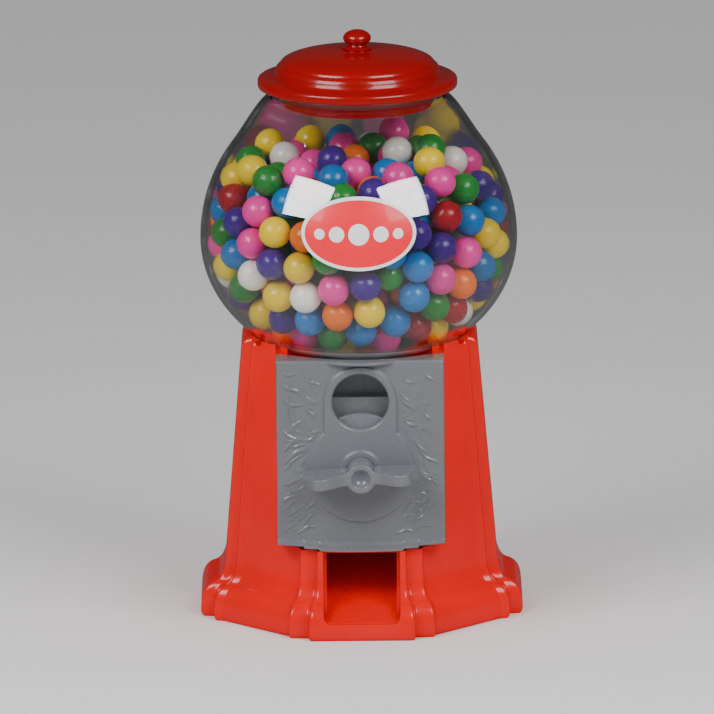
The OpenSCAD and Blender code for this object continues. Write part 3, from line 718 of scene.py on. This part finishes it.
def graded(span, count):
    """Positions from 0 to span, count of them even in the middle and denser along both ends."""
    edge = FINE_EDGE * (1 - np.cos(np.linspace(0, math.pi / 2, 7)))[:-1]
    middle = np.linspace(FINE_EDGE, span - FINE_EDGE, count)
    return np.concatenate([edge, middle, (span - edge)[::-1]])


def visor():
    """Thin curved shelf over the window."""
    centre_y, radius, chord, thick, steps = -40.8, 26.8, 16.4, 1.7, 32
    low = PLATE_TOP - thick
    outline = []
    for k in range(steps + 1):
        x = -chord + 2 * chord * k / steps
        outline.append((x, centre_y - math.sqrt(radius ** 2 - x ** 2)))
    outline += [(chord, -PLATE_FACE + 1), (-chord, -PLATE_FACE + 1)]
    rings = []
    for z, inset in ((low, 0.45), (low + 0.15, 0.15), (low + 0.5, 0), (PLATE_TOP - 0.5, 0),
                     (PLATE_TOP - 0.15, 0.15), (PLATE_TOP, 0.5)):
        rings.append([(x, y + inset if y < -PLATE_FACE else y, z) for x, y in outline])
    verts, faces = rings_mesh(rings)
    shelf = new_object("visor", verts, faces)
    fix_normals(shelf)
    return shelf


def make_front_plate():
    span = PLATE_TOP - PLATE_BOTTOM
    x, t = np.meshgrid(graded(2 * PLATE_HALF, 250) - PLATE_HALF, graded(span, 290) / span)
    bottom = lip_bottom(x)
    z = bottom + (PLATE_TOP - bottom) * t
    front = np.stack([x, -PLATE_FACE - plate_height(x, z), z], -1)
    back = np.stack([x, np.full_like(x, -PLATE_BACK), z], -1)
    rows, cols = x.shape
    verts = np.concatenate([front.reshape(-1, 3), back.reshape(-1, 3)])
    shift = rows * cols
    faces = []
    for r in range(rows - 1):
        for c in range(cols - 1):
            a = r * cols + c
            faces.append((a, a + 1, a + cols + 1, a + cols))
    border = list(range(cols))
    border += [r * cols + cols - 1 for r in range(1, rows)]
    border += [(rows - 1) * cols + c for c in range(cols - 2, -1, -1)]
    border += [r * cols for r in range(rows - 2, 0, -1)]
    for a, b in zip(border, border[1:] + border[:1]):
        faces.append((a, a + shift, b + shift, b))
    faces.append(tuple(i + shift for i in border))
    used = sorted({i for face in faces for i in face})
    number = {old: new for new, old in enumerate(used)}
    faces = [tuple(number[i] for i in face) for face in faces]
    plate = new_object("front_plate_body", verts[used], faces)
    fix_normals(plate)
    inner = PLATE_HALF - PLATE_WALL
    inside = block("inside", (-inner, -PLATE_FACE + PLATE_WALL, PLATE_BOTTOM + 4),
                   (inner, -PLATE_BACK + 5, PLATE_TOP - PLATE_WALL))
    combine(inside, [foot_cone(HOLLOW_WALL)])
    combine(plate, [inside])
    combine(plate, [visor()], "UNION")
    window = lay_along_y(rod("window", WINDOW_R, 50, 75, 128), WINDOW_Z)
    hub_hole = lay_along_y(rod("hub_hole", HUB_R + 0.05, 50, 75, 96), CRANK_Z)
    combine(plate, [window, hub_hole, dish_cutter(), foot_cone(0)])
    finish_piece(plate, "base", GREY, "grey_plastic", "front_plate", angle=38)


# ---- crank ----

HANDLE_TILT = 2.8
HANDLE_VOXEL = 0.34
HUB_FRONT = 82
HUB_BACK = 58.4
WING_HALF = 2.9  # half of a wing's thickness
DIMPLE_R = 4.9


def wing_outline():
    """Plan of the right wing: (x, distance in front of the middle)."""
    back = PLATE_FACE + 4
    tip = HANDLE_HIGH[0] / math.cos(math.radians(HANDLE_TILT)) - 0.4
    reach = -HANDLE_LOW[1]
    outline = [(3, back), (tip, back + 1.4), (tip - 2.2, back + 9.5), (tip - 4.2, back + 17.5)]
    outline += arc(tip - 8.4, reach - 4, 4, 8, 90, 6)
    outline += [(19, reach - 0.1), (16.5, reach - 1.3), (13, reach - 4.2), (10, reach - 7),
                (7, reach - 8.8), (3, HUB_FRONT)]
    return outline


def prism_up(name, outline, z0, z1):
    rings = [[(x, -y, z) for x, y in outline] for z in (z0, z1)]
    verts, faces = rings_mesh(rings)
    obj = new_object(name, verts, faces)
    fix_normals(obj)
    return obj


def make_handle():
    handle = lay_along_y(rod("handle_body", HUB_R - 0.1, HUB_BACK, HUB_FRONT - 0.2, 96), 0)
    wings = []
    for side in (1, -1):
        outline = [(side * x, y) for x, y in wing_outline()]
        wings.append(prism_up("wing", outline, -WING_HALF, WING_HALF))
    combine(handle, wings, "UNION")
    dimple = lay_along_y(lathe("dimple", arc(0, HUB_FRONT + 1.1, DIMPLE_R, -90, 90, 24), 64), 0)
    combine(handle, [dimple])
    remesh = handle.modifiers.new("remesh", "REMESH")
    remesh.mode = "VOXEL"
    remesh.voxel_size = HANDLE_VOXEL * MM
    bake_modifiers(handle)
    soften = handle.modifiers.new("soften", "SMOOTH")
    soften.factor = 0.5
    soften.iterations = 9
    bake_modifiers(handle)
    combine(handle, [lay_along_y(rod("bore", SHAFT_R, 50, 76, 48), 0)])
    tilt = Matrix.Rotation(math.radians(-HANDLE_TILT), 4, "Y")
    handle.data.transform(Matrix.Translation((0, 0, CRANK_Z * MM)) @ tilt)
    finish_piece(handle, "crank", GREY, "grey_plastic", "handle", angle=60)


def make_coin_wheel():
    front, back = -WHEEL_LOW[1], -WHEEL_HIGH[1]
    edge = 0.5
    profile = [(0, back), (COIN_WHEEL_R - edge, back), (COIN_WHEEL_R, back + edge),
               (COIN_WHEEL_R, front - edge), (COIN_WHEEL_R - 0.15, front - 0.2),
               (COIN_WHEEL_R - edge, front), (0, front)]
    wheel = lay_along_y(lathe("coin_wheel_body", profile, 160), CRANK_Z)
    bore = lay_along_y(rod("bore", SHAFT_R, 50, 62, 48), CRANK_Z)
    coin_r = 12.5
    notch_z = CRANK_Z - COIN_WHEEL_R - 3
    notch = lay_along_y(rod("notch", coin_r, 50, 62, 96), notch_z)
    combine(wheel, [bore, notch])
    finish_piece(wheel, "crank", GREY, "grey_plastic", "coin_wheel", angle=40)


# ---- globe ----


def globe_curve(extra):
    """(radius, height) points of the globe's wall from its foot to the neck, grown by extra."""
    steps = 26
    lower, upper = math.radians(57), math.radians(37)
    points = [((GLOBE_R + extra) * math.cos(a), GLOBE_Z - (GLOBE_DEPTH + extra) * math.sin(a))
              for a in np.linspace(lower, 0, steps)]
    points += [((GLOBE_R + extra) * math.cos(a), GLOBE_Z + (GLOBE_R + extra) * math.sin(a))
               for a in np.linspace(0, upper, steps)[1:]]
    # the shoulder straightens, then turns into the neck
    p0 = np.array(points[-1])
    direction = np.array([-math.sin(upper), math.cos(upper)])
    p3 = np.array([NECK_R + extra, GLOBE_Z + 73 + extra * 0.3])
    p1, p2 = p0 + direction * 13, p3 + np.array([6.5, -1.2])
    for t in np.linspace(0, 1, 15)[1:]:
        point = (1 - t) ** 3 * p0 + 3 * (1 - t) ** 2 * t * p1 + 3 * (1 - t) * t * t * p2 + t ** 3 * p3
        points.append(tuple(point))
    return points


def make_globe():
    low = GLOBE_LOW[2]
    foot = [(COLLAR_BORE, low + 0.4), (COLLAR_BORE + 0.4, low), (COLLAR_R - 0.4, low),
            (COLLAR_R, low + 0.4), (COLLAR_R, COLLAR_TOP), (COLLAR_R + 0.4, COLLAR_TOP + 0.8)]
    neck = [(NECK_R, NECK_Z - 2.2), (NECK_R + 0.3, NECK_Z - 1.7), (NECK_R + 1, NECK_Z - 1.4),
            (NECK_R + 1, NECK_Z - 0.3), (NECK_R + 0.7, NECK_Z), (NECK_R - 2.2, NECK_Z),
            (NECK_R - 2.5, NECK_Z - 0.3)]
    inside = globe_curve(-GLOBE_WALL)[::-1]
    outline = foot + globe_curve(0) + neck + inside + [(COLLAR_BORE, BORE_TOP)]
    globe = lathe("globe_body", outline, 224)
    finish_piece(globe, "base", CLEAR, "clear_plastic", "globe", angle=50)


# ---- label ----

LABEL_HALF = (28.5, 18)
LABEL_BORDER = 1.7
LABEL_Z = GLOBE_Z + 17.5
DOTS = ((-19.5, 2.6), (-11, 3.8), (0, 5.2), (11, 3.8), (19.5, 2.6))  # (x, radius)


def on_globe(x, z, radius):
    """Point on the globe's front at x and height z, for a sphere of that radius."""
    h = z - GLOBE_Z
    return (x, -math.sqrt(radius ** 2 - x * x - h * h), z)


def sticker(name, centre, half, low, high, look, rings=10, segments=96):
    """Thin elliptical patch that follows the globe, from low to high above its surface."""
    verts, faces = [], []
    for lift in (low, high):
        verts.append(on_globe(*centre, GLOBE_R + lift))
        for k in range(1, rings + 1):
            for i in range(segments):
                a = 2 * math.pi * i / segments
                share = k / rings
                verts.append(on_globe(centre[0] + half[0] * share * math.cos(a),
                                      centre[1] + half[1] * share * math.sin(a), GLOBE_R + lift))
    layer = 1 + rings * segments
    for side in (0, 1):
        s = side * layer
        for i in range(segments):
            j = (i + 1) % segments
            faces.append((s, s + 1 + i, s + 1 + j))
            for k in range(rings - 1):
                a, b = s + 1 + k * segments, s + 1 + (k + 1) * segments
                faces.append((a + i, b + i, b + j, a + j))
    edge = 1 + (rings - 1) * segments
    for i in range(segments):
        j = (i + 1) % segments
        faces.append((edge + i, edge + j, layer + edge + j, layer + edge + i))
    patch = new_object(name, verts, faces)
    fix_normals(patch)
    finish_piece(patch, "base", look, "label", angle=50)
    return patch


def make_label():
    white = plastic("label_white", (0.86, 0.86, 0.87), 0.3, coat=0.3, wave=0.03)
    red = plastic("label_red", (0.95, 0.008, 0.03), 0.3, coat=0.3, wave=0.03)
    border = sticker("label_border", (0, LABEL_Z), LABEL_HALF, 0.05, 0.2, white)
    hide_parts("globe_label")
    field = (LABEL_HALF[0] - LABEL_BORDER, LABEL_HALF[1] - LABEL_BORDER)
    sticker("label_field", (0, LABEL_Z), field, 0.21, 0.27, red)
    for k, (x, radius) in enumerate(DOTS):
        sticker(f"label_dot_{k}", (x, LABEL_Z), (radius, radius), 0.28, 0.33, white, 4, 48)


# ---- gumballs ----

BALL_COUNT = 412
BALL_SEED = 21
HEAP_HALF = 70  # the box that balls are scattered in, and the cylinder that keeps them
HEAP_R = 68
HEAP_LOW = 136
HEAP_TOP = GLOBE_Z + 54
CAP_R = 9.5  # the turning cap in the middle of the hopper
CAP_TOP = 134
FINE_LEVEL = 0.9  # balls nearer to the globe's wall than this share get a finer mesh
COLOURS = {  # (colour, weight in the draw)
    "green": ((0.008, 0.24, 0.022), 22),
    "pink": ((0.92, 0.035, 0.33), 18),
    "yellow": ((1.0, 0.70, 0.0), 16),
    "blue": ((0.001, 0.17, 0.48), 13),
    "orange": ((1.0, 0.19, 0.0), 9),
    "navy": ((0.045, 0.006, 0.20), 9),
    "white": ((0.92, 0.88, 0.78), 7),
    "red": ((0.38, 0.001, 0.008), 7),
}


def inner_limit():
    """Half axes of the space for ball centres: (radius, depth below the equator, height above it)."""
    room = GLOBE_WALL + BALL_R + 0.5
    return GLOBE_R - room, GLOBE_DEPTH - room, GLOBE_R - room


def push_inside(places):
    """Moves balls back inside the globe, and up off the turning cap."""
    radius, depth, height = inner_limit()
    for _ in range(2):
        h = places[:, 2] - GLOBE_Z
        tall = np.where(h < 0, depth, height)
        reach = np.hypot(places[:, 0], places[:, 1])
        level = np.sqrt((reach / radius) ** 2 + (h / tall) ** 2)
        slope = np.column_stack([places[:, 0] / radius ** 2, places[:, 1] / radius ** 2, h / tall ** 2])
        slope /= np.maximum(level, 1e-6)[:, None]
        size = np.linalg.norm(slope, axis=1)
        over = np.clip((level - 1) / np.maximum(size, 1e-6), 0, None)
        places -= slope / np.maximum(size, 1e-6)[:, None] * over[:, None]
    reach = np.hypot(places[:, 0], places[:, 1])
    low = (reach < CAP_R + BALL_R) & (places[:, 2] < CAP_TOP + BALL_R * 0.8)
    places[low, 2] += 0.4


def push_apart(places, gap):
    """Moves overlapping balls apart, and returns the worst overlap."""
    delta = places[:, None] - places[None]
    dist = np.sqrt((delta ** 2).sum(-1)) + np.eye(len(places)) * 1e6
    over = np.clip(gap - dist, 0, None)
    places += (delta / dist[..., None] * over[..., None]).sum(1) * 0.35
    return over.max()


def settle_gumballs():
    """Centres in mm of a heap that starts scattered in the globe and sinks until it is packed."""
    rng = np.random.default_rng(BALL_SEED)
    places = []
    while len(places) < BALL_COUNT:
        spot = rng.uniform((-HEAP_HALF, -HEAP_HALF, HEAP_LOW), (HEAP_HALF, HEAP_HALF, HEAP_TOP))
        if np.hypot(spot[0], spot[1]) < HEAP_R:
            places.append(spot)
    places = np.array(places)
    gap = 2 * BALL_R + 0.04
    rounds = 240
    for k in range(rounds):
        places[:, 2] -= 0.5 * (1 - k / rounds)
        for _ in range(4):
            push_apart(places, gap)
            push_inside(places)
    for _ in range(420):
        if push_apart(places, gap) < 0.02:
            break
        push_inside(places)
    return places


def draw_colours(places):
    """A colour for each ball by weight, drawn once more where a touching ball already has it."""
    rng = np.random.default_rng(BALL_SEED + 2)
    weights = np.array([weight for _, weight in COLOURS.values()], float)
    names = []
    for i, place in enumerate(places):
        near = np.flatnonzero(np.linalg.norm(places[:i] - place, axis=1) < 2.2 * BALL_R)
        first, second = rng.choice(list(COLOURS), 2, p=weights / weights.sum())
        names.append(second if first in {names[k] for k in near} else first)
    return names


def ball_mesh(level):
    mesh = bmesh.new()
    bmesh.ops.create_icosphere(mesh, subdivisions=level, radius=1)
    verts = np.array([v.co for v in mesh.verts])
    faces = [tuple(v.index for v in face.verts) for face in mesh.faces]
    mesh.free()
    return verts, faces


def make_gumballs():
    places = settle_gumballs()
    names = draw_colours(places)
    delta = np.sqrt(((places[:, None] - places[None]) ** 2).sum(-1)) + np.eye(len(places)) * 99
    radii = np.minimum(BALL_R, delta.min(1) / 2)
    radius, depth, height = inner_limit()
    h = places[:, 2] - GLOBE_Z
    level = np.sqrt((np.hypot(places[:, 0], places[:, 1]) / radius) ** 2
                    + (h / np.where(h < 0, depth, height)) ** 2)
    fine, coarse = ball_mesh(4), ball_mesh(3)
    rng = np.random.default_rng(BALL_SEED + 1)
    first = None
    for colour, (rgb, _) in COLOURS.items():
        verts, faces, tones, total = [], [], [], 0
        for i in [i for i, name in enumerate(names) if name == colour]:
            shape, ball_faces = fine if level[i] > FINE_LEVEL else coarse
            angle = rng.uniform(0, 6.28)
            axis = Vector(rng.normal(size=3)).normalized()
            turn = np.array(Matrix.Rotation(angle, 3, axis))
            squash = 1 - rng.uniform(0, 0.022, 3)
            tone = rng.random()
            verts.append((shape * squash) @ turn.T * radii[i] + places[i])
            faces += [tuple(total + v for v in face) for face in ball_faces]
            tones += [tone] * len(shape)
            total += len(shape)
        heap = new_object(f"gumballs_{colour}", np.concatenate(verts), faces)
        heap.data.attributes.new("tone", "FLOAT", "POINT").data.foreach_set("value", tones)
        finish_piece(heap, "base", candy(f"candy_{colour}", rgb), "gumball", angle=80)
        first = first or heap
    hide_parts("gumballs")


# ---- lid ----


def make_lid():
    z0 = NECK_Z + 0.3
    wall = 2.4
    dome_r, dome_z, dome_rise = 38.7, 9.1, 7.5
    under = [(0, z0 + 16 - wall), (14, z0 + 15.2 - wall), (28, z0 + 11 - wall), (37.4, z0),
             (37.4, z0 - 11.6), (37.8, z0 - 12), (39, z0 - 12), (39.4, z0 - 11.6), (39.6, z0),
             (47.6, z0), (47.6, z0 - 2.2), (48, z0 - 2.6)]
    brim = [(49, z0 - 2.6), (49.7, z0 - 2.2), (50, z0 - 1.4), (50, z0 + 1), (49.7, z0 + 1.8),
            (49, z0 + 2.3)]
    step = [(45, z0 + 2.7), (43, z0 + 3), (42, z0 + 3.5), (41.4, z0 + 4.4), (41.1, z0 + 6),
            (40.7, z0 + 7.4), (39.9, z0 + 8.4), (dome_r, z0 + dome_z)]
    dome = [(dome_r * math.cos(a), z0 + dome_z + dome_rise * math.sin(a))
            for a in np.radians(np.linspace(6, 90, 16))]
    dome[-1] = (0, z0 + 16.6)
    # the lid and its knob take the darker red, which is partly painted shade
    lid = lathe("lid_body", under + brim + step + dome, ROUND_STEPS)
    finish_piece(lid, "lid", DEEP_SHADED_RED, "dark_red_plastic", "lid", angle=40)
    k0 = NECK_Z + 16.9
    knob = [(0, k0), (6.9, k0 - 0.2), (7.4, k0 + 0.1), (7.4, k0 + 0.6), (6.4, k0 + 1),
            (5, k0 + 1.5), (4.6, k0 + 2.2)]
    ball_half = 4.2  # half the height of the knob's ball
    knob += [(7 * math.cos(a), KNOB_TOP - ball_half + ball_half * math.sin(a))
             for a in np.radians(np.linspace(-44, 90, 16))]
    knob[-1] = (0, KNOB_TOP)
    body = lathe("lid_knob_body", knob, 96)
    finish_piece(body, "lid", DEEP_SHADED_RED, "dark_red_plastic", "lid_knob", angle=40)


# ---- CAD nodes that stay ----

NODE_LOOKS = {
    RED: ["gumball_chute"],
    GREY: ["coin_guide", "bearing_bracket"],
    CREAM: ["shaft_bushing", "drive_gear", "gumball_wheel", "agitator_cap", "hopper_floor",
            "drive_pins", "drop_tube", "hopper_ring", "ball_guard"],
    BLACK: ["bottom_cover", "coin_door"],
    STEEL: ["bottom_screws", "plate_screws", "guide_screws", "handle_pin", "handle_shaft",
            "bracket_screws", "shaft_washer", "shaft_screw", "wheel_axle", "axle_washer",
            "axle_screw", "hopper_screws", "lid_screw"],
}


def dress_cad_nodes():
    for look, names in NODE_LOOKS.items():
        for name in names:
            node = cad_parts[name]
            node.data.materials.clear()
            node.data.materials.append(look)


# ---- stage, lights and camera ----

AMBIENT = 0.46
FLOOR_IN_GLOSS = (0.15, 0.15, 0.15)  # floor as seen in reflections
AMBIENT_GLOSS = 0.05  # what glossy surfaces see between the softboxes
SOFTBOX_GLOSS = 70  # how much brighter the softboxes are in reflections
SOFTBOX_SIZE = (0.6, 0.5)  # metres, as is the next
SOFTBOX_DISTANCE = 1.1
SOFTBOX_ELEVATION = 35
FLOOR_HALF = 12000
FLOOR_Z = -0.05


def make_stage():
    look = Look("floor")
    pale = look.mix(look.noise(3, 3), (0.86, 0.86, 0.86), (0.9, 0.9, 0.9))
    path = look.nodes.new("ShaderNodeLightPath")
    look.colour(look.mix(path.outputs["Is Glossy Ray"], pale, FLOOR_IN_GLOSS))
    look.set(Roughness=0.7)
    corners = [(x * FLOOR_HALF, y * FLOOR_HALF, FLOOR_Z) for x, y in ((-1, -1), (1, -1), (1, 1), (-1, 1))]
    floor = new_object("floor", corners, [(0, 1, 2, 3)])
    floor.data.materials.append(look.material)
    world = bpy.data.worlds.new("studio")
    world.use_nodes = True
    background = world.node_tree.nodes["Background"]
    background.inputs["Color"].default_value = (1, 1, 1, 1)
    path = world.node_tree.nodes.new("ShaderNodeLightPath")
    strength = world.node_tree.nodes.new("ShaderNodeMapRange")
    strength.inputs["To Min"].default_value = AMBIENT
    strength.inputs["To Max"].default_value = AMBIENT_GLOSS
    world.node_tree.links.new(path.outputs["Is Glossy Ray"], strength.inputs["Value"])
    world.node_tree.links.new(strength.outputs["Result"], background.inputs["Strength"])
    bpy.context.scene.world = world


def softbox(name, azimuth, power):
    """Soft light that looks at the globe; azimuth in degrees to the right of the front."""
    target = Vector((0, 0, GLOBE_Z * MM * 0.9))
    a, e = math.radians(azimuth), math.radians(SOFTBOX_ELEVATION)
    light = bpy.data.lights.new(name, "AREA")
    light.shape = "RECTANGLE"
    light.size, light.size_y = SOFTBOX_SIZE
    light.energy = power
    light.use_nodes = True
    nodes, links = light.node_tree.nodes, light.node_tree.links
    path = nodes.new("ShaderNodeLightPath")
    boost = nodes.new("ShaderNodeMapRange")
    boost.inputs["To Min"].default_value = 1
    boost.inputs["To Max"].default_value = SOFTBOX_GLOSS
    links.new(path.outputs["Is Glossy Ray"], boost.inputs["Value"])
    links.new(boost.outputs["Result"], nodes["Emission"].inputs["Strength"])
    lamp = bpy.data.objects.new(name, light)
    direction = Vector((math.sin(a) * math.cos(e), -math.cos(a) * math.cos(e), math.sin(e)))
    place = direction * SOFTBOX_DISTANCE
    lamp.location = target + place
    lamp.rotation_euler = (-place).to_track_quat("-Z", "Y").to_euler()
    bpy.context.scene.collection.objects.link(lamp)


def make_camera():
    pitch, roll = math.radians(13), math.radians(0.5)
    aim, distance = Vector((-0.0014, 0, 0.127)), 5.985  # metres
    forward = Vector((0, math.cos(pitch), -math.sin(pitch)))
    level_right = Vector((1, 0, 0))
    level_up = level_right.cross(forward)
    right = level_right * math.cos(roll) - level_up * math.sin(roll)
    up = level_up * math.cos(roll) + level_right * math.sin(roll)
    camera = bpy.data.objects.new("camera", bpy.data.cameras.new("camera"))
    camera.data.lens = 600
    camera.data.sensor_width = 36
    camera.matrix_world = Matrix.Translation(aim - forward * distance) @ Matrix(
        (right, up, -forward)).transposed().to_4x4()
    bpy.context.scene.collection.objects.link(camera)
    bpy.context.scene.camera = camera


make_base()
make_front_plate()
make_handle()
make_coin_wheel()
make_globe()
make_label()
make_gumballs()
make_lid()
dress_cad_nodes()
make_stage()
softbox("softbox_left", -44, 8.2)
softbox("softbox_right", 39, 7.6)
make_camera()
